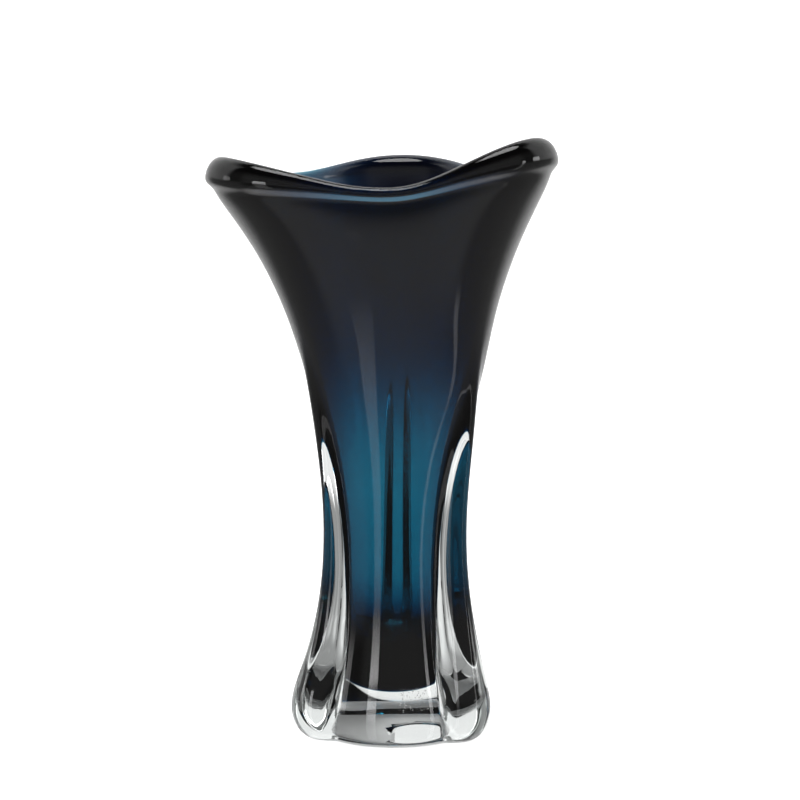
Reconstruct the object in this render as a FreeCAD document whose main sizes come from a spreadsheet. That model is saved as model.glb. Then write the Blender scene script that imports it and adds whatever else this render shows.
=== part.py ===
import FreeCAD, Part
import math
import os

# Cased glass vase: a blue bubble inside a clear gather, three pulled fins that end as feet,
# a solid heel and a rolled lip. Millimetres, +Z up, standing on Z = 0.

# Each table goes down the glass from its lowest level to its highest. A level's sizes are its
# height and its distance from the axis: panel between the lobes, corner in the middle of one.
BODY_LEVELS = {
    "Foot": dict(Height=0, Panel=49, Corner=49),
    "Toe": dict(Height=2, Panel=52, Corner=52),
    "Welt": dict(Height=9, Panel=54, Corner=54),
    "Heel": dict(Height=20, Panel=53.2, Corner=53.2),
    "Ankle": dict(Height=32, Panel=50.3, Corner=50.3),
    "Shank": dict(Height=48, Panel=46, Corner=46),
    "Shin": dict(Height=68, Panel=42, Corner=42),
    "Calf": dict(Height=95, Panel=38.5, Corner=38.5),
    "Knee": dict(Height=130, Panel=37.5, Corner=37.5),
    "Thigh": dict(Height=165, Panel=40, Corner=41),
    "Hip": dict(Height=200, Panel=45, Corner=47.5),
    "Waist": dict(Height=230, Panel=51, Corner=57),
    "Belly": dict(Height=256, Panel=57.5, Corner=64.5),
    "Ribs": dict(Height=275, Panel=62.5, Corner=71),
    "Chest": dict(Height=293, Panel=67.5, Corner=78.5),
    "Shoulder": dict(Height=315, Panel=74.5, Corner=90),
    "Neck": dict(Height=335, Panel=81, Corner=104),
    "Throat": dict(Height=344, Panel=83.4, Corner=111),
    "Collar": dict(Height=351, Panel=84.6, Corner=116),
    "Crease": dict(Height=355, Panel=84.4, Corner=118),
    "Seam": dict(Height=360, Panel=88, Corner=124),
}
CUP_LEVELS = {
    "Pole": dict(Height=27.5, Panel=6, Corner=6),
    "Floor": dict(Height=28, Panel=13, Corner=13),
    "Bowl": dict(Height=30.5, Panel=19.5, Corner=19.5),
    "Round": dict(Height=36, Panel=24.5, Corner=24.5),
    "Ankle": dict(Height=46, Panel=28, Corner=28),
    "Shank": dict(Height=60, Panel=30, Corner=30),
    "Shin": dict(Height=76, Panel=31.5, Corner=31.5),
    "Calf": dict(Height=95, Panel=33, Corner=33),
    "Knee": dict(Height=130, Panel=33.5, Corner=33.5),
    "Thigh": dict(Height=165, Panel=36.5, Corner=37.5),
    "Hip": dict(Height=200, Panel=42.5, Corner=44.5),
    "Waist": dict(Height=230, Panel=49, Corner=54),
    "Belly": dict(Height=256, Panel=55.5, Corner=62),
    "Ribs": dict(Height=275, Panel=60.5, Corner=68.5),
    "Chest": dict(Height=293, Panel=65.5, Corner=76.5),
    "Shoulder": dict(Height=315, Panel=72.5, Corner=88),
    "Neck": dict(Height=335, Panel=79, Corner=102),
    "Throat": dict(Height=344, Panel=81.4, Corner=109),
    "Collar": dict(Height=351, Panel=82.6, Corner=114),
    "Crease": dict(Height=355, Panel=82.4, Corner=116),
    "Seam": dict(Height=360, Panel=85.4, Corner=121.5),
}
CAVITY_LEVELS = {
    "Pole": dict(Height=56, Panel=6, Corner=6),
    "Floor": dict(Height=56.5, Panel=12.5, Corner=12.5),
    "Bowl": dict(Height=59, Panel=18.5, Corner=18.5),
    "Round": dict(Height=65, Panel=23.5, Corner=23.5),
    "Shin": dict(Height=75, Panel=27, Corner=27),
    "Calf": dict(Height=90, Panel=29.3, Corner=29.3),
    "Brace": dict(Height=108, Panel=30.5, Corner=30.5),
    "Knee": dict(Height=130, Panel=30.8, Corner=30.8),
    "Thigh": dict(Height=165, Panel=34, Corner=34.6),
    "Hip": dict(Height=200, Panel=39.5, Corner=41),
    "Waist": dict(Height=230, Panel=45, Corner=48.5),
    "Belly": dict(Height=256, Panel=50, Corner=54.5),
    "Ribs": dict(Height=275, Panel=54.5, Corner=60),
    "Chest": dict(Height=293, Panel=59, Corner=66),
    "Shoulder": dict(Height=315, Panel=65.5, Corner=75.5),
    "Neck": dict(Height=335, Panel=71.5, Corner=87),
    "Throat": dict(Height=344, Panel=74.2, Corner=93),
    "Collar": dict(Height=353, Panel=77, Corner=98),
    "Seam": dict(Height=360, Panel=79, Corner=101.5),
}
SKIN_TABLES = {"Body": BODY_LEVELS, "Cup": CUP_LEVELS, "Cavity": CAVITY_LEVELS}

# A fin's sections: its outer edge, its root inside the round body and half its thickness.
FIN_LEVELS = {
    "Foot": dict(Height=0, Edge=57, Root=34, Half=11),
    "Toe": dict(Height=2.5, Edge=63.5, Root=36, Half=14),
    "Welt": dict(Height=9, Edge=70, Root=37, Half=16.5),
    "Heel": dict(Height=20, Edge=73, Root=38, Half=18),
    "Ankle": dict(Height=32, Edge=71.5, Root=37, Half=17),
    "Shin": dict(Height=48, Edge=65.5, Root=34, Half=15),
    "Calf": dict(Height=68, Edge=58.5, Root=29, Half=12.5),
    "Knee": dict(Height=95, Edge=52.5, Root=25, Half=10),
    "Thigh": dict(Height=130, Edge=49.5, Root=23.5, Half=9),
    "Hip": dict(Height=165, Edge=51, Root=25.5, Half=8.5),
    "Waist": dict(Height=200, Edge=55.5, Root=30, Half=8.5),
    "Belly": dict(Height=232, Edge=61, Root=37, Half=8.5),
    "Chest": dict(Height=256, Edge=60, Root=45, Half=7),
}

# The three lobes point in their own directions and differ by hand. Reach and Lift are added
# to the corner of the mouth, Swell to the fin, Bulge to the body behind it, and LipRise is
# the lip's height over the seam.
LOBES = {
    "Left": dict(Angle=-154, Reach=5, Lift=6.5, Swell=0, Bulge=0, LipRise=16),
    "Right": dict(Angle=-34, Reach=-7, Lift=19, Swell=5.5, Bulge=4, LipRise=16),
    "Back": dict(Angle=86, Reach=-10, Lift=1, Swell=2, Bulge=0, LipRise=11),
}

OTHER_SIZES = {
    "ValleyLipRise": 4.5,
    "MouthTilt": 3.5,
    "FlareStart": 200,
    "SwellStart": 30,
    "SwellFull": 75,
    "SwellFade": 205,
    "BulgeMiddle": 232,
    "BulgeSpread": 32,
    "HeelTop": 26,
    "SlabSide": 220,
    "LidRadius": 12,
    "DimpleWide": 26,
    "DimpleDeep": 2,
    "DimpleX": 10,
    "DimpleY": 16,
    "CentreX": 7.75,
    "CentreY": -12.9,
}

BODY_POINTS = 48
FIN_POINTS = 20
LIP_STEPS = 8
CORNER_POWER = 1.7
LIFT_POWER = 1
SPLINE_DEGREE = 3
LOBE_HALF_ANGLE = 60


def makeSheet(doc):
    sheet = doc.addObject("Spreadsheet::Sheet", "Sizes")
    cells = dict(OTHER_SIZES)
    groups = {"Fin": FIN_LEVELS, "Lobe": LOBES, **SKIN_TABLES}
    for group, table in groups.items():
        for place, sizes in table.items():
            for size, number in sizes.items():
                cells[group + place + size] = number
    for row, (alias, number) in enumerate(cells.items(), start=1):
        sheet.set(f"A{row}", alias)
        sheet.set(f"B{row}", str(number))
        sheet.setAlias(f"B{row}", alias)
    doc.recompute()
    return sheet


# How much of a lobe there is at an angle: 1 in its middle, 0 halfway to the next one.
def lobeShare(sheet, lobe, angle, power):
    away = (angle - sheet.get(f"Lobe{lobe}Angle") + 180) % 360 - 180
    if abs(away) > LOBE_HALF_ANGLE:
        return 0
    return ((1 + math.cos(math.pi * away / LOBE_HALF_ANGLE)) / 2) ** power


# How far a level is into the flare: 0 below its start, 1 at the seam of the lip.
def flareShare(sheet, height):
    start = sheet.get("FlareStart")
    return max(0, (height - start) / (sheet.get("BodySeamHeight") - start)) ** 2


# How much the corner bulges at a height: a soft bell round the fin's upper end.
def bulgeShare(sheet, height):
    away = (height - sheet.get("BulgeMiddle")) / sheet.get("BulgeSpread")
    return math.exp(-(away**2))


# One loop of points round the axis at a level of the body, the cup or the cavity.
def levelLoop(sheet, group, level):
    height = sheet.get(f"{group}{level}Height")
    panel = sheet.get(f"{group}{level}Panel")
    corner = sheet.get(f"{group}{level}Corner")
    flare = flareShare(sheet, height)
    bulge = bulgeShare(sheet, height)
    loop = []
    for step in range(BODY_POINTS):
        angle = 360 * step / BODY_POINTS
        radius = panel
        lift = -sheet.get("MouthTilt") * math.sin(math.radians(angle))
        for lobe in LOBES:
            reach = corner - panel + flare * sheet.get(f"Lobe{lobe}Reach")
            reach += bulge * sheet.get(f"Lobe{lobe}Bulge")
            radius += reach * lobeShare(sheet, lobe, angle, CORNER_POWER)
            lift += sheet.get(f"Lobe{lobe}Lift") * lobeShare(sheet, lobe, angle, LIFT_POWER)
        loop.append(polar(radius, angle, height + flare * lift))
    return loop


def polar(radius, angle, height):
    turn = math.radians(angle)
    return FreeCAD.Vector(radius * math.cos(turn), radius * math.sin(turn), height)


# A cubic spline runs inside its control points, so they are moved out to bring it back.
def crispLoop(loop):
    crisp = []
    for index, point in enumerate(loop):
        neighbours = loop[index - 1] + loop[(index + 1) % len(loop)]
        crisp.append(point + (point * 2 - neighbours) / 6)
    return crisp


# A smooth skin through loops of points, closed round the loops and open at both ends.
def makeSkin(loops):
    rows = [crispLoop(loop) for loop in loops]
    poles = [list(column) for column in zip(*rows)]
    spans = len(rows) - SPLINE_DEGREE
    ends = SPLINE_DEGREE + 1
    surface = Part.BSplineSurface()
    surface.buildFromPolesMultsKnots(
        poles,
        [1] * (len(poles) + 1),
        [ends] + [1] * (spans - 1) + [ends],
        list(range(len(poles) + 1)),
        list(range(spans + 1)),
        True,
        False,
        SPLINE_DEGREE,
        SPLINE_DEGREE,
    )
    return surface


def skinEnd(skin, top):
    low, high = skin.bounds()[2:]
    return skin.vIso(high if top else low).toShape()


def makeDisc(skin, top):
    return Part.Face(Part.Wire(skinEnd(skin, top)))


def makeSolid(faces):
    shell = Part.makeShell(faces)
    shell.sewShape()
    solid = Part.makeSolid(shell)
    if solid.Volume < 0:
        solid.reverse()
    return solid


def makeTool(doc, name, shape):
    tool = doc.addObject("Part::Feature", name)
    tool.Shape = shape
    tool.Placement = FreeCAD.Placement()
    return tool


# The skins of the round body, the colour's outside and the cavity meet the lip at one seam.
def makeSkins(sheet):
    skins = {}
    for group, table in SKIN_TABLES.items():
        skins[group] = makeSkin([levelLoop(sheet, group, level) for level in table])
    return skins


def makeAnnulus(outerSkin, innerSkin):
    return Part.makeRuledSurface(skinEnd(outerSkin, True), skinEnd(innerSkin, True))


# The faces of a glass wall between two skins, each skin closed below, joined along the seam.
def makeWall(outer, inner):
    outerFaces = [outer.toShape(), makeDisc(outer, False)]
    innerFaces = [inner.toShape(), makeDisc(inner, False)]
    return outerFaces + innerFaces + [makeAnnulus(outer, inner)]


def makeClearBody(doc, skins):
    return makeTool(doc, "ClearBody", makeSolid(makeWall(skins["Body"], skins["Cup"])))


def makeColourCup(doc, skins):
    return makeTool(doc, "colour_cup", makeSolid(makeWall(skins["Cup"], skins["Cavity"])))


# The round body without its hollow: what the fins and the heel are trimmed against.
def makeBodyPlug(doc, sheet, skins):
    body = skins["Body"]
    middle = FreeCAD.Vector(0, 0, sheet.get("BodySeamHeight"))
    lid = Part.Circle(middle, FreeCAD.Vector(0, 0, 1), sheet.get("LidRadius")).toShape()
    slope = Part.makeRuledSurface(skinEnd(body, True), lid)
    faces = [body.toShape(), makeDisc(body, False), slope, Part.Face(Part.Wire(lid))]
    return makeTool(doc, "BodyPlug", makeSolid(faces))


# The lip rolls from the body's seam over to the cavity's, low in the valleys, high at corners.
def makeRolledRim(doc, sheet, skins):
    outer = levelLoop(sheet, "Body", "Seam")
    inner = levelLoop(sheet, "Cavity", "Seam")
    valleyRise = sheet.get("ValleyLipRise")
    loops = []
    for step in range(LIP_STEPS + 1):
        turn = math.pi * step / LIP_STEPS
        loop = []
        for index, (start, end) in enumerate(zip(outer, inner)):
            angle = 360 * index / BODY_POINTS
            rise = valleyRise
            for lobe in LOBES:
                extra = sheet.get(f"Lobe{lobe}LipRise") - valleyRise
                rise += extra * lobeShare(sheet, lobe, angle, CORNER_POWER)
            across = start + (end - start) * (1 - math.cos(turn)) / 2
            loop.append(across + FreeCAD.Vector(0, 0, rise * math.sin(turn)))
        loops.append(loop)
    lip = makeSkin(loops)
    body, cup, cavity = skins["Body"], skins["Cup"], skins["Cavity"]
    faces = [lip.toShape(), makeAnnulus(body, cup), makeAnnulus(cup, cavity)]
    return makeTool(doc, "rolled_rim", makeSolid(faces))


def makeFinBlank(doc, sheet, lobe):
    direction = sheet.get(f"Lobe{lobe}Angle")
    start, full = sheet.get("SwellStart"), sheet.get("SwellFull")
    fade, top = sheet.get("SwellFade"), sheet.get("FinChestHeight")
    loops = []
    for level in FIN_LEVELS:
        height = sheet.get(f"Fin{level}Height")
        root = sheet.get(f"Fin{level}Root")
        swell = max(0, min(1, (height - start) / (full - start), (top - height) / (top - fade)))
        edge = sheet.get(f"Fin{level}Edge") + swell * sheet.get(f"Lobe{lobe}Swell")
        half = sheet.get(f"Fin{level}Half")
        middle, reach = (edge + root) / 2, (edge - root) / 2
        out = polar(1, direction, 0)
        side = polar(1, direction + 90, 0)
        loop = []
        for step in range(FIN_POINTS):
            turn = 2 * math.pi * step / FIN_POINTS
            point = out * (middle + reach * math.cos(turn)) + side * (half * math.sin(turn))
            loop.append(point + FreeCAD.Vector(0, 0, height))
        loops.append(loop)
    skin = makeSkin(loops)
    faces = [skin.toShape(), makeDisc(skin, False), makeDisc(skin, True)]
    return makeTool(doc, f"FinBlank{lobe}", makeSolid(faces))


def makeSlab(doc):
    slab = doc.addObject("Part::Box", "Slab")
    slab.setExpression("Length", "Sizes.SlabSide")
    slab.setExpression("Width", "Sizes.SlabSide")
    slab.setExpression("Height", "Sizes.HeelTop")
    slab.setExpression("Placement.Base.x", "-Sizes.SlabSide / 2")
    slab.setExpression("Placement.Base.y", "-Sizes.SlabSide / 2")
    return slab


# A ball whose cap, DimpleWide across and DimpleDeep high, stands over the ground underside.
def makeDimple(doc):
    radius = "(Sizes.DimpleWide ^ 2 / 4 + Sizes.DimpleDeep ^ 2) / (2 * Sizes.DimpleDeep)"
    dimple = doc.addObject("Part::Sphere", "PontilDimple")
    dimple.setExpression("Radius", radius)
    dimple.setExpression("Placement.Base.x", "Sizes.DimpleX")
    dimple.setExpression("Placement.Base.y", "Sizes.DimpleY")
    dimple.setExpression("Placement.Base.z", f"Sizes.DimpleDeep - {radius}")
    return dimple


def cutAway(doc, name, base, tool):
    cut = doc.addObject("Part::Cut", name)
    cut.Base = base
    cut.Tool = tool
    return cut


def build():
    doc = FreeCAD.newDocument("CasedGlassVase")
    sheet = makeSheet(doc)
    skins = makeSkins(sheet)
    slab = makeSlab(doc)

    clearBody = makeClearBody(doc, skins)
    nodes = [makeColourCup(doc, skins), makeRolledRim(doc, sheet, skins)]
    nodes.append(cutAway(doc, "clear_casing", clearBody, slab))

    plug = makeBodyPlug(doc, sheet, skins)
    blanks = []
    for lobe in LOBES:
        blank = makeFinBlank(doc, sheet, lobe)
        blanks.append(blank)
        raised = cutAway(doc, f"RaisedFin{lobe}", blank, slab)
        nodes.append(cutAway(doc, f"fin_{lobe.lower()}", raised, plug))

    mass = doc.addObject("Part::MultiFuse", "FootMass")
    mass.Shapes = [plug] + blanks
    blunt = doc.addObject("Part::MultiCommon", "BluntHeel")
    blunt.Shapes = [mass, slab]
    nodes.append(cutAway(doc, "heel", blunt, makeDimple(doc)))

    # The row's origin is under the middle of the whole vase, which leans out from its axis.
    for node in nodes:
        node.setExpression("Placement.Base.x", "Sizes.CentreX")
        node.setExpression("Placement.Base.y", "Sizes.CentreY")
    doc.recompute()
    return doc, nodes


def checkAndWrite(doc, nodes):
    for item in doc.Objects:
        if "Invalid" in item.State or "Error" in item.State:
            raise RuntimeError(f"{item.Name} did not recompute: {item.State}")
    for node in nodes:
        if node.Shape.isNull() or not node.Shape.isValid():
            raise RuntimeError(f"{node.Name} has no valid shape")
    os.makedirs("parts", exist_ok=True)
    for node in nodes:
        node.Label = node.Name
        node.Shape.exportStep(f"parts/{node.Label}.step")
        box = node.Shape.optimalBoundingBox()
        low = f"{box.XMin:.1f} {box.YMin:.1f} {box.ZMin:.1f}"
        high = f"{box.XMax:.1f} {box.YMax:.1f} {box.ZMax:.1f}"
        print(node.Label, len(node.Shape.Solids), "solid", round(node.Shape.Volume), "mm3", low, "to", high)


checkAndWrite(*build())
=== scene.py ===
import math
import random

import bmesh
import bpy
from mathutils import Matrix, Vector, noise


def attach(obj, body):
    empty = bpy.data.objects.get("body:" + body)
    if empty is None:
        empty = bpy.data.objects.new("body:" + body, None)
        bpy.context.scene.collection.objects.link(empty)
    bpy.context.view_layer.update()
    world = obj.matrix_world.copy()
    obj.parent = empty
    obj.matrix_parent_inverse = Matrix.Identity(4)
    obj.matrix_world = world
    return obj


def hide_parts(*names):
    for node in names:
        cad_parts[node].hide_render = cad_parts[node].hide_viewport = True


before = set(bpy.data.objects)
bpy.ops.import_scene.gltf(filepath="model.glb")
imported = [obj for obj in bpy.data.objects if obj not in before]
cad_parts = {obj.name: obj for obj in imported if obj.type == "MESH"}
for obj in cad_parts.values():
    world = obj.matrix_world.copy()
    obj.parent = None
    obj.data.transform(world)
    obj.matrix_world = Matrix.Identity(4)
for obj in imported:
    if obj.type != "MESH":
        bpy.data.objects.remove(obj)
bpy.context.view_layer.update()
mm = 0.001
nearAxis = 0.001  # radius in mm of a flat end's pole, all but on the axis
weldDistance = 1e-5

# the vase's round body stands on its own axis, a little off the middle of the whole box
vaseForm = {
    "axis": (7.75, -12.9),
    "columns": 108,
    "crowding": 0.4,  # how much closer the columns stand at the fins
    "cornerPower": 1.7,
    "flareStart": 200,
    "seamHeight": 360,
    "mouthTilt": 3.5,
    "valleyLip": 4.5,
    "lipSteps": 8,
    "notchFillet": 2.0,
    "underRings": (5, 10, 15, 20, 26, 32, 38, 44),  # radii across the ground underside
    "waviness": 0.35,
    "waveLength": 55,
    "waveFull": 12,  # the height where the drift reaches its full size
    "smoothing": 2,
}
axisPlace = Vector((*vaseForm["axis"], 0))

# height: panel and corner radius of the round body, then edge, root and half thickness of a fin
bodyLevels = [
    (0, 49, 49, 57, 34, 11),
    (2, 52, 52, 63.5, 36, 14),
    (9, 54, 54, 70, 37, 16.5),
    (20, 53.2, 53.2, 73, 38, 18),
    (32, 50.3, 50.3, 71.5, 37, 17),
    (48, 46, 46, 65.5, 34, 15),
    (68, 42, 42, 58.5, 29, 12.5),
    (95, 38.5, 38.5, 52.5, 25, 10),
    (130, 37.5, 37.5, 49.5, 23.5, 9),
    (165, 40, 41, 51, 25.5, 8.5),
    (200, 45, 47.5, 55.5, 30, 8.5),
    (230, 51, 57, 60.5, 37, 8.5),
    (256, 57.5, 64.5, 60, 45, 7),
    (275, 62.5, 71, 0, 0, 0),
    (293, 67.5, 78.5, 0, 0, 0),
    (315, 74.5, 90, 0, 0, 0),
    (335, 81, 104, 0, 0, 0),
    (344, 83.4, 111, 0, 0, 0),
    (351, 84.6, 116, 0, 0, 0),
    (355, 84.4, 118, 0, 0, 0),
    (357.5, 86.4, 121, 0, 0, 0),
    (360, 88, 124, 0, 0, 0),
]
# height, panel and corner radius of the colour's outside and of the hollow inside it
cupLevels = [
    (27.5, 6, 6),
    (28, 13, 13),
    (30.5, 19.5, 19.5),
    (36, 24.5, 24.5),
    (46, 28, 28),
    (60, 30, 30),
    (76, 31.5, 31.5),
    (95, 33, 33),
    (130, 33.5, 33.5),
    (165, 36.5, 37.5),
    (200, 42.5, 44.5),
    (230, 49, 54),
    (256, 55.5, 62),
    (275, 60.5, 68.5),
    (293, 65.5, 76.5),
    (315, 72.5, 88),
    (335, 79, 102),
    (344, 81.4, 109),
    (351, 82.6, 114),
    (355, 82.4, 116),
    (357.5, 84, 118.5),
    (360, 85.4, 121.5),
]
cavityLevels = [
    (56, 6, 6),
    (56.5, 12.5, 12.5),
    (59, 18.5, 18.5),
    (65, 23.5, 23.5),
    (75, 27, 27),
    (90, 29.3, 29.3),
    (108, 30.5, 30.5),
    (130, 30.8, 30.8),
    (165, 34, 34.6),
    (200, 39.5, 41),
    (230, 45, 48.5),
    (256, 50, 54.5),
    (275, 54.5, 60),
    (293, 59, 66),
    (315, 65.5, 75.5),
    (335, 71.5, 87),
    (344, 74.2, 93),
    (353, 77, 98),
    (360, 79, 101.5),
]
# the three lobes, each with a fin under it: their direction, and how each differs from the others
lobes = [
    {"angle": -154, "reach": 5, "lift": 6.5, "swell": 0, "bulge": 0, "lipRise": 16},
    {"angle": -34, "reach": -7, "lift": 19, "swell": 5.5, "bulge": 4, "lipRise": 16},
    {"angle": 86, "reach": -10, "lift": 1, "swell": 2, "bulge": 0, "lipRise": 11},
]
swellSpan = {"start": 30, "full": 75, "fade": 205, "end": 256}
bulgeBell = {"middle": 232, "spread": 32}


def awayFrom(lobe, angle):
    return (angle - lobe["angle"] + 180) % 360 - 180


# 1 in the middle of a lobe, 0 half way to the next one
def lobeShare(lobe, angle, power):
    away = awayFrom(lobe, angle)
    if abs(away) > 180 / len(lobes):
        return 0
    return ((1 + math.cos(math.radians(len(lobes) * away))) / 2) ** power


def flareShare(height):
    start = vaseForm["flareStart"]
    return max(0, (height - start) / (vaseForm["seamHeight"] - start)) ** 2


def roundRadius(panel, corner, height, angle):
    radius = panel
    bulge = math.exp(-(((height - bulgeBell["middle"]) / bulgeBell["spread"]) ** 2))
    for lobe in lobes:
        reach = corner + flareShare(height) * lobe["reach"] + bulge * lobe["bulge"] - panel
        radius += reach * lobeShare(lobe, angle, vaseForm["cornerPower"])
    return radius


def liftedHeight(height, angle):
    lift = -vaseForm["mouthTilt"] * math.sin(math.radians(angle))
    for lobe in lobes:
        lift += lobe["lift"] * lobeShare(lobe, angle, 1)
    return height + flareShare(height) * lift


# how far out a fin's oval section is met by a line from the axis, 0 where it isn't
def finRadius(lobe, height, edge, root, half, angle):
    span = swellSpan
    rising = (height - span["start"]) / (span["full"] - span["start"])
    falling = (span["end"] - height) / (span["end"] - span["fade"])
    edge += lobe["swell"] * max(0, min(1, rising, falling))
    middle, reach = (edge + root) / 2, (edge - root) / 2
    away = math.radians(awayFrom(lobe, angle))
    if abs(away) > math.pi / len(lobes) or reach <= 0:
        return 0
    along, across = math.cos(away) / reach, math.sin(away) / half
    square = along * along + across * across
    push = middle * along / reach
    inside = push * push - square * ((middle / reach) ** 2 - 1)
    if inside < 0:
        return 0
    return (push + math.sqrt(inside)) / square


# the larger of two radii, with a fillet where they are nearly equal
def smoothMax(first, second, fillet):
    gap = max(0, fillet - abs(first - second)) / fillet
    return max(first, second) + gap * gap * fillet / 4


def outerRadius(level, angle):
    height, panel, corner, edge, root, half = level
    radius = roundRadius(panel, corner, height, angle)
    for lobe in lobes:
        fin = finRadius(lobe, height, edge, root, half, angle)
        radius = smoothMax(radius, fin, vaseForm["notchFillet"])
    return radius


# columns crowd towards the fins, where the surface turns fastest
def columnAngle(step, columns):
    turn = 360 * step / columns
    crowded = vaseForm["crowding"] * math.sin(math.radians(len(lobes) * turn)) / len(lobes)
    return lobes[0]["angle"] + turn - math.degrees(crowded)


def polar(radius, angle, height):
    turn = math.radians(angle)
    return Vector((radius * math.cos(turn), radius * math.sin(turn), height))


# each row of the net is a function that gives a point for an angle
def flatRow(radius, height):
    return lambda angle: polar(radius, angle, height)


pontil = {"place": (10, 16), "radius": 13, "deep": 2}


def fromPontil(place):
    return math.hypot(place.x - pontil["place"][0], place.y - pontil["place"][1])


# the ground underside is flat but for the small polished hollow where the iron was broken off
def groundRow(radius):
    def point(angle):
        place = polar(radius, angle, 0)
        place.z = pontil["deep"] * max(0, 1 - (fromPontil(place) / pontil["radius"]) ** 2)
        return place

    return point


def outerRow(level):
    return lambda angle: polar(outerRadius(level, angle), angle, liftedHeight(level[0], angle))


def innerRow(level, inset=0, drop=0):
    height, panel, corner = level
    return lambda angle: polar(
        roundRadius(panel, corner, height, angle) + inset, angle, liftedHeight(height, angle) - drop
    )


# a row of the rounded lip, part of the way over from the outer wall to the inner one
def lipRow(start, end, turn, below=0):
    valley = vaseForm["valleyLip"]

    def point(angle):
        rise = valley
        for lobe in lobes:
            rise += (lobe["lipRise"] - valley) * lobeShare(lobe, angle, vaseForm["cornerPower"])
        across = start(angle).lerp(end(angle), (1 - math.cos(turn)) / 2)
        return across + Vector((0, 0, (rise - below) * math.sin(turn)))

    return point


def lipRows(start, end, below=0):
    steps = vaseForm["lipSteps"]
    return [lipRow(start, end, math.pi * step / steps, below) for step in range(1, steps)]


# a closed net: one column of points is spun round, then every point goes to its row's place
def spinNet(name, rows, columns):
    net = bmesh.new()
    rowOf = net.verts.layers.int.new("row")
    column = []
    for index in range(len(rows)):
        onAxis = index in (0, len(rows) - 1)
        vert = net.verts.new((0 if onAxis else 1, 0, index))
        vert[rowOf] = index
        column.append(vert)
    edges = [net.edges.new(pair) for pair in zip(column, column[1:])]
    bmesh.ops.spin(
        net,
        geom=column + edges,
        axis=(0, 0, 1),
        cent=(0, 0, 0),
        angle=math.tau,
        steps=columns,
        use_merge=True,
    )
    bmesh.ops.remove_doubles(net, verts=net.verts, dist=weldDistance)
    for vert in net.verts:
        step = round(math.atan2(vert.co.y, vert.co.x) / math.tau * columns)
        vert.co = rows[vert[rowOf]](columnAngle(step, columns))
        vert.co += wave(vert.co)
        vert.co = (vert.co + axisPlace) * mm
    bmesh.ops.recalc_face_normals(net, faces=net.faces)
    if net.calc_volume(signed=True) < 0:
        bmesh.ops.reverse_faces(net, faces=net.faces)
    for face in net.faces:
        face.smooth = True
    mesh = bpy.data.meshes.new(name)
    net.to_mesh(mesh)
    net.free()
    piece = bpy.data.objects.new(name, mesh)
    bpy.context.scene.collection.objects.link(piece)
    rounding = piece.modifiers.new("rounding", "SUBSURF")
    rounding.levels = rounding.render_levels = vaseForm["smoothing"]
    return piece


# hand-worked glass is never quite even: a slow drift of the surface, none on the ground foot
def wave(place):
    scaled = place / vaseForm["waveLength"]
    size = vaseForm["waviness"] * min(1, max(0, place.z / vaseForm["waveFull"]))
    drift = noise.noise(scaled)
    return Vector((place.x, place.y, 0)).normalized() * drift * size


def makeClearGlass():
    underside = [groundRow(radius) for radius in (nearAxis, *vaseForm["underRings"])]
    outside = [outerRow(level) for level in bodyLevels]
    inside = [innerRow(level) for level in reversed(cavityLevels)]
    lip = lipRows(outside[-1], inside[0])
    end = [flatRow(nearAxis, cavityLevels[0][0])]
    rows = underside + outside + lip + inside + end
    piece = spinNet("clear_glass", rows, vaseForm["columns"])
    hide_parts("clear_casing", "fin_left", "fin_right", "fin_back", "heel", "rolled_rim")
    return piece


colourForm = {
    "columns": 108,
    "inset": 0.35,  # how far the colour stays behind the hollow's surface
    "bottomBelow": 90,
    "lipBelow": 1.8,
}


def makeColourGlass():
    inset, bottom = colourForm["inset"], colourForm["bottomBelow"]
    start = [flatRow(nearAxis, cupLevels[0][0])]
    outside = [innerRow(level) for level in cupLevels]
    inside = [innerRow(level, inset, inset if level[0] < bottom else 0) for level in reversed(cavityLevels)]
    lip = lipRows(outside[-1], inside[0], colourForm["lipBelow"])
    end = [flatRow(nearAxis, cavityLevels[0][0] - inset)]
    rows = start + outside + lip + inside + end
    piece = spinNet("colour_glass", rows, colourForm["columns"])
    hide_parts("colour_cup")
    return piece


def newMaterial(name):
    material = bpy.data.materials.new(name)
    material.use_nodes = True
    return material, material.node_tree


def addAbsorption(tree, colour, density):
    volume = tree.nodes.new("ShaderNodeVolumeAbsorption")
    volume.inputs["Color"].default_value = colour
    volume.inputs["Density"].default_value = density
    tree.links.new(volume.outputs["Volume"], tree.nodes["Material Output"].inputs["Volume"])


rippleForm = {
    "scale": (38, 38, 9),  # the cords run up the vase
    "detail": 3,
    "height": 0.0004,
    "strength": 0.16,
}


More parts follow.
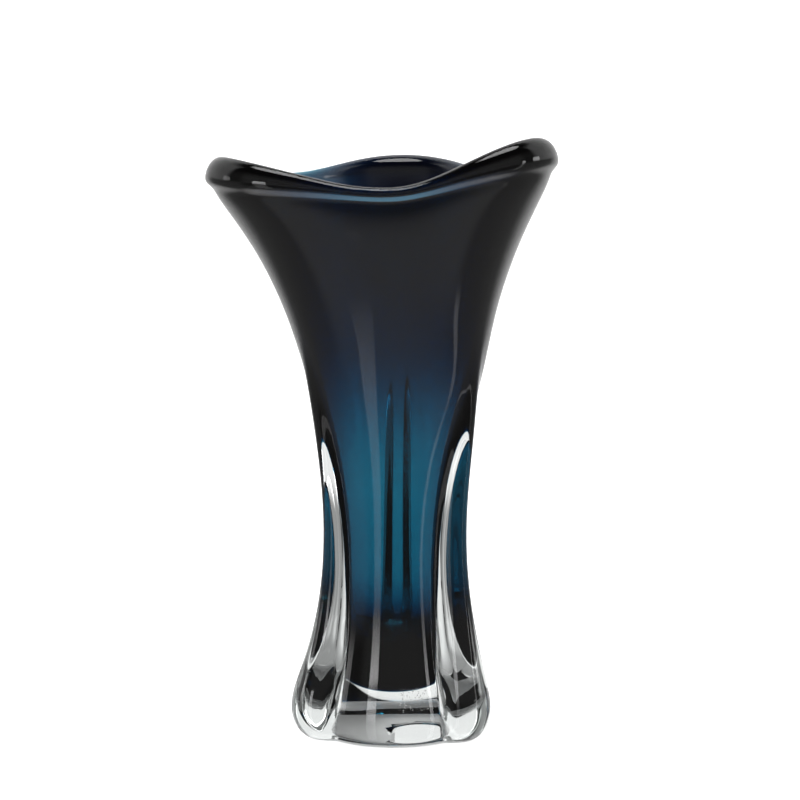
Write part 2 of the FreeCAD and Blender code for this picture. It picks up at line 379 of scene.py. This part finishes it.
# faint cords and ripples left in the surface by pulling and reheating the glass
def makeRippleGroup():
    group = bpy.data.node_groups.new("pulled_glass_ripple", "ShaderNodeTree")
    group.interface.new_socket("Strength", in_out="INPUT", socket_type="NodeSocketFloat")
    group.interface.new_socket("Normal", in_out="OUTPUT", socket_type="NodeSocketVector")
    group.interface.new_socket("Cords", in_out="OUTPUT", socket_type="NodeSocketFloat")
    start = group.nodes.new("NodeGroupInput")
    end = group.nodes.new("NodeGroupOutput")
    place = group.nodes.new("ShaderNodeTexCoord")
    stretch = group.nodes.new("ShaderNodeMapping")
    stretch.inputs["Scale"].default_value = rippleForm["scale"]
    cords = group.nodes.new("ShaderNodeTexNoise")
    cords.inputs["Scale"].default_value = 1
    cords.inputs["Detail"].default_value = rippleForm["detail"]
    bump = group.nodes.new("ShaderNodeBump")
    bump.inputs["Distance"].default_value = rippleForm["height"]
    group.links.new(place.outputs["Object"], stretch.inputs["Vector"])
    group.links.new(stretch.outputs["Vector"], cords.inputs["Vector"])
    group.links.new(cords.outputs["Fac"], bump.inputs["Height"])
    group.links.new(start.outputs["Strength"], bump.inputs["Strength"])
    group.links.new(bump.outputs["Normal"], end.inputs["Normal"])
    group.links.new(cords.outputs["Fac"], end.inputs["Cords"])
    return group


rippleGroup = makeRippleGroup()


def addRipple(tree, shader, strength):
    ripple = tree.nodes.new("ShaderNodeGroup")
    ripple.node_tree = rippleGroup
    ripple.inputs["Strength"].default_value = strength
    tree.links.new(ripple.outputs["Normal"], shader.inputs["Normal"])
    return ripple


clearFinish = {
    "ior": 1.5,
    "absorb": (0.84, 0.87, 0.86, 1),
    "density": 8,
    "groundRoughness": (0.4, 0.6),
    "groundBelow": 1.6,
    "groundFacing": -0.7,  # how squarely a ground face looks down
    "stripBelow": 0.4,
    "stripRadius": 44,
    "stripHalfAngle": 22,
}


def clearGlassMaterial(name, ground):
    material, tree = newMaterial(name)
    shader = tree.nodes["Principled BSDF"]
    shader.inputs["Base Color"].default_value = (1, 1, 1, 1)
    shader.inputs["Roughness"].default_value = 0
    shader.inputs["IOR"].default_value = clearFinish["ior"]
    shader.inputs["Transmission Weight"].default_value = 1
    ripple = addRipple(tree, shader, rippleForm["strength"])
    if ground:
        smoothest, dullest = clearFinish["groundRoughness"]
        dullness = tree.nodes.new("ShaderNodeMapRange")
        dullness.inputs["To Min"].default_value = smoothest
        dullness.inputs["To Max"].default_value = dullest
        tree.links.new(ripple.outputs["Cords"], dullness.inputs["Value"])
        tree.links.new(dullness.outputs["Result"], shader.inputs["Roughness"])
    addAbsorption(tree, clearFinish["absorb"], clearFinish["density"])
    return material


# the underside is ground dull, all but the polished hollow and a strip under the back fin
def grindUnderside(piece):
    backFin = lobes[-1]
    for face in piece.data.polygons:
        place = face.center / mm - axisPlace
        if place.z > clearFinish["groundBelow"] or face.normal.z > clearFinish["groundFacing"]:
            continue
        if fromPontil(place) < pontil["radius"]:
            continue
        angle = math.degrees(math.atan2(place.y, place.x))
        underFin = abs(awayFrom(backFin, angle)) < clearFinish["stripHalfAngle"]
        atRim = math.hypot(place.x, place.y) >= clearFinish["stripRadius"]
        if not (underFin and atRim and place.z < clearFinish["stripBelow"]):
            face.material_index = 1


blueFinish = {
    "ior": 1,  # the clear glass round it already bends the light
    "absorb": (0.033, 0.595, 0.693, 1),
    "density": 1060,
    "streakEnds": (0.3, 0.7),
    "streaks": ((0.8, 0.9, 0.93, 1), (1, 1, 1, 1)),
}


def blueGlassMaterial():
    material, tree = newMaterial("petrol_blue_glass")
    shader = tree.nodes["Principled BSDF"]
    ripple = addRipple(tree, shader, 0)
    streaks = tree.nodes.new("ShaderNodeValToRGB")
    ends = zip(streaks.color_ramp.elements, blueFinish["streakEnds"], blueFinish["streaks"])
    for element, position, colour in ends:
        element.position = position
        element.color = colour
    tree.links.new(ripple.outputs["Cords"], streaks.inputs["Fac"])
    tree.links.new(streaks.outputs["Color"], shader.inputs["Base Color"])
    shader.inputs["Roughness"].default_value = 0
    shader.inputs["IOR"].default_value = blueFinish["ior"]
    shader.inputs["Transmission Weight"].default_value = 1
    addAbsorption(tree, blueFinish["absorb"], blueFinish["density"])
    return material


bubbleForm = {
    "count": 220,
    "seed": 7,
    "small": 0.12,
    "large": 0.42,
    "fewLarge": 3,  # the higher this power, the fewer large ones
    "radius": (33, 47),
    "angle": (-86, -44),
    "height": (22, 37),
    "segments": 8,
    "rings": 6,
}


# seed bubbles caught in the clear glass at the front of the heel
def makeBubbles():
    dice = random.Random(bubbleForm["seed"])
    net = bmesh.new()
    growth = bubbleForm["large"] - bubbleForm["small"]
    for _ in range(bubbleForm["count"]):
        angle = dice.uniform(*bubbleForm["angle"])
        place = polar(dice.uniform(*bubbleForm["radius"]), angle, dice.uniform(*bubbleForm["height"]))
        size = bubbleForm["small"] + growth * dice.random() ** bubbleForm["fewLarge"]
        bmesh.ops.create_uvsphere(
            net,
            u_segments=bubbleForm["segments"],
            v_segments=bubbleForm["rings"],
            radius=size * mm,
            matrix=Matrix.Translation((place + axisPlace) * mm),
        )
    for face in net.faces:
        face.smooth = True
    mesh = bpy.data.meshes.new("seed_bubbles")
    net.to_mesh(mesh)
    net.free()
    piece = bpy.data.objects.new("seed_bubbles", mesh)
    bpy.context.scene.collection.objects.link(piece)
    return piece


# seen from inside the glass, air bends light the other way
def bubbleMaterial():
    material, tree = newMaterial("seed_bubble_air")
    shader = tree.nodes["Principled BSDF"]
    shader.inputs["Base Color"].default_value = (1, 1, 1, 1)
    shader.inputs["Roughness"].default_value = 0
    shader.inputs["IOR"].default_value = 1 / clearFinish["ior"]
    shader.inputs["Transmission Weight"].default_value = 1
    return material


floorForm = {
    "segments": 96,
    "radius": 14,
    "below": 0.0002,
    "colour": (0.9, 0.9, 0.9, 1),
    "roughness": 0.7,
    "glow": 0.9,
}


# a plain pale floor that doesn't show in the glass, so the studio alone gives the glass its look
def makeFloor():
    net = bmesh.new()
    bmesh.ops.create_circle(net, cap_ends=True, segments=floorForm["segments"], radius=floorForm["radius"])
    mesh = bpy.data.meshes.new("floor")
    net.to_mesh(mesh)
    net.free()
    floor = bpy.data.objects.new("floor", mesh)
    bpy.context.scene.collection.objects.link(floor)
    floor.location.z = -floorForm["below"]
    material, tree = newMaterial("pale_floor")
    shader = tree.nodes["Principled BSDF"]
    shader.inputs["Base Color"].default_value = floorForm["colour"]
    shader.inputs["Roughness"].default_value = floorForm["roughness"]
    shader.inputs["Specular IOR Level"].default_value = 0
    shader.inputs["Emission Color"].default_value = (1, 1, 1, 1)
    shader.inputs["Emission Strength"].default_value = floorForm["glow"]
    mesh.materials.append(material)
    floor.visible_glossy = False
    floor.visible_transmission = False


# degrees round from the front and degrees up, and how bright each part of the studio is
studio = {
    "frontEdge": (45, 60),
    "wallEdge": (72, 86),
    "groundEdge": (115, 145),
    "groundFall": (-18, -45),
    "underEdge": (-56, -68),
    "horizon": (-4, 4),
    "roofFront": (25, 50),
    "roofBack": (50, 68),
    "topEdge": (72, 76),
    "wallFront": 0.32,
    "wallSide": 0.15,
    "wallBack": 1.0,
    "groundNear": 0.14,
    "groundFront": 0.55,
    "groundSide": 0.34,
    "groundBack": 1.0,
    "under": 1.7,
    "ceiling": 0.05,
    "top": 5,
    "backdrop": 1,  # behind the vase, for the camera alone
}
# upright softboxes: the lower part of each is dimmed to its "dim" share
softboxes = [
    {"azimuth": -32, "width": 15, "low": -34, "high": 14, "power": 6, "dim": 0.13},
    {"azimuth": 55, "width": 7, "low": -34, "high": 14, "power": 4.5, "dim": 0.2},
    {"azimuth": -80, "width": 16, "low": 6, "high": 17, "power": 1.6, "dim": 1},
    {"azimuth": 80, "width": 16, "low": 6, "high": 17, "power": 4, "dim": 1},
]
softboxFade = {"side": 1.5, "foot": 8, "head": 3, "dimming": (-5, 12)}


class WorldNodes:
    def __init__(self, tree):
        self.tree = tree

    def feed(self, socket, value):
        if hasattr(value, "links"):
            self.tree.links.new(value, socket)
        else:
            socket.default_value = value

    def math(self, operation, first, second=0.0, third=0.0):
        node = self.tree.nodes.new("ShaderNodeMath")
        node.operation = operation
        for socket, value in zip(node.inputs, (first, second, third)):
            self.feed(socket, value)
        return node.outputs[0]

    def mix(self, share, first, second):
        kept = self.math("MULTIPLY", first, self.math("SUBTRACT", 1, share))
        return self.math("MULTIPLY_ADD", second, share, kept)

    def ramp(self, value, low, high, start=0.0, end=1.0):
        node = self.tree.nodes.new("ShaderNodeMapRange")
        node.interpolation_type = "SMOOTHSTEP"
        names = ("Value", "From Min", "From Max", "To Min", "To Max")
        for name, number in zip(names, (value, low, high, start, end)):
            self.feed(node.inputs[name], number)
        return node.outputs["Result"]


def softboxLight(nodes, box, elevation, azimuth):
    off = nodes.math("ABSOLUTE", nodes.math("SUBTRACT", azimuth, box["azimuth"]))
    half = box["width"] / 2
    inWidth = nodes.ramp(off, half, half - softboxFade["side"])
    bright = nodes.ramp(elevation, *softboxFade["dimming"], box["dim"], 1)
    foot = nodes.ramp(elevation, box["low"] - softboxFade["foot"], box["low"])
    head = nodes.ramp(elevation, box["high"], box["high"] - softboxFade["head"])
    inHeight = nodes.math("MULTIPLY", nodes.math("MULTIPLY", foot, head), bright)
    return nodes.math("MULTIPLY", nodes.math("MULTIPLY", inWidth, inHeight), box["power"])


def makeWorld():
    world = bpy.data.worlds.new("studio")
    bpy.context.scene.world = world
    world.use_nodes = True
    tree = world.node_tree
    nodes = WorldNodes(tree)
    place = tree.nodes.new("ShaderNodeTexCoord").outputs["Generated"]
    split = tree.nodes.new("ShaderNodeSeparateXYZ")
    tree.links.new(place, split.inputs["Vector"])
    x, y, z = split.outputs
    toDegrees = 180 / math.pi
    elevation = nodes.math("MULTIPLY", nodes.math("ARCSINE", z), toDegrees)
    azimuth = nodes.math("MULTIPLY", nodes.math("ARCTAN2", x, nodes.math("MULTIPLY", y, -1)), toDegrees)

    around = nodes.math("ABSOLUTE", azimuth)
    toSide = nodes.ramp(around, *studio["frontEdge"])
    toBack = nodes.ramp(around, *studio["wallEdge"])
    toGroundBack = nodes.ramp(around, *studio["groundEdge"])
    walls = nodes.mix(toSide, studio["wallFront"], studio["wallSide"])
    walls = nodes.mix(toBack, walls, studio["wallBack"])
    nearGround = nodes.ramp(elevation, *studio["groundFall"], studio["groundNear"], studio["groundFront"])
    ground = nodes.mix(toSide, nearGround, studio["groundSide"])
    ground = nodes.mix(toGroundBack, ground, studio["groundBack"])
    ground = nodes.mix(nodes.ramp(elevation, *studio["underEdge"]), ground, studio["under"])
    roofFront = nodes.ramp(elevation, *studio["roofFront"])
    roof = nodes.mix(toBack, roofFront, nodes.ramp(elevation, *studio["roofBack"]))
    level = nodes.mix(nodes.ramp(elevation, *studio["horizon"]), ground, walls)
    level = nodes.mix(roof, level, studio["ceiling"])
    level = nodes.mix(nodes.ramp(elevation, *studio["topEdge"]), level, studio["top"])
    for box in softboxes:
        level = nodes.math("ADD", level, softboxLight(nodes, box, elevation, azimuth))

    seen = tree.nodes.new("ShaderNodeLightPath").outputs["Is Camera Ray"]
    shown = nodes.mix(seen, level, studio["backdrop"])
    background = tree.nodes["Background"]
    background.inputs["Color"].default_value = (1, 1, 1, 1)
    tree.links.new(shown, background.inputs["Strength"])


cameraForm = {"distance": 2400, "height": 643, "aim": (3.9, 0, 219.8), "focal": 169.2, "sensor": 36}


def makeCamera():
    data = bpy.data.cameras.new("camera")
    data.lens = cameraForm["focal"]
    data.sensor_width = cameraForm["sensor"]
    camera = bpy.data.objects.new("camera", data)
    bpy.context.scene.collection.objects.link(camera)
    camera.location = (axisPlace + Vector((0, -cameraForm["distance"], cameraForm["height"]))) * mm
    aim = (axisPlace + Vector(cameraForm["aim"])) * mm
    camera.rotation_euler = (aim - camera.location).to_track_quat("-Z", "Y").to_euler()
    bpy.context.scene.camera = camera


makeCamera()
clearGlass = makeClearGlass()
clearGlass.data.materials.append(clearGlassMaterial("clear_fire_polished_glass", False))
clearGlass.data.materials.append(clearGlassMaterial("ground_underside_glass", True))
grindUnderside(clearGlass)
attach(clearGlass, "root")
print("clear glass made")
colourGlass = makeColourGlass()
colourGlass.data.materials.append(blueGlassMaterial())
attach(colourGlass, "root")
print("blue glass made")
bubbles = makeBubbles()
bubbles.data.materials.append(bubbleMaterial())
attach(bubbles, "root")
print("bubbles made")
makeFloor()
makeWorld()
bpy.context.scene.view_settings.view_transform = "Standard"
print("studio made")
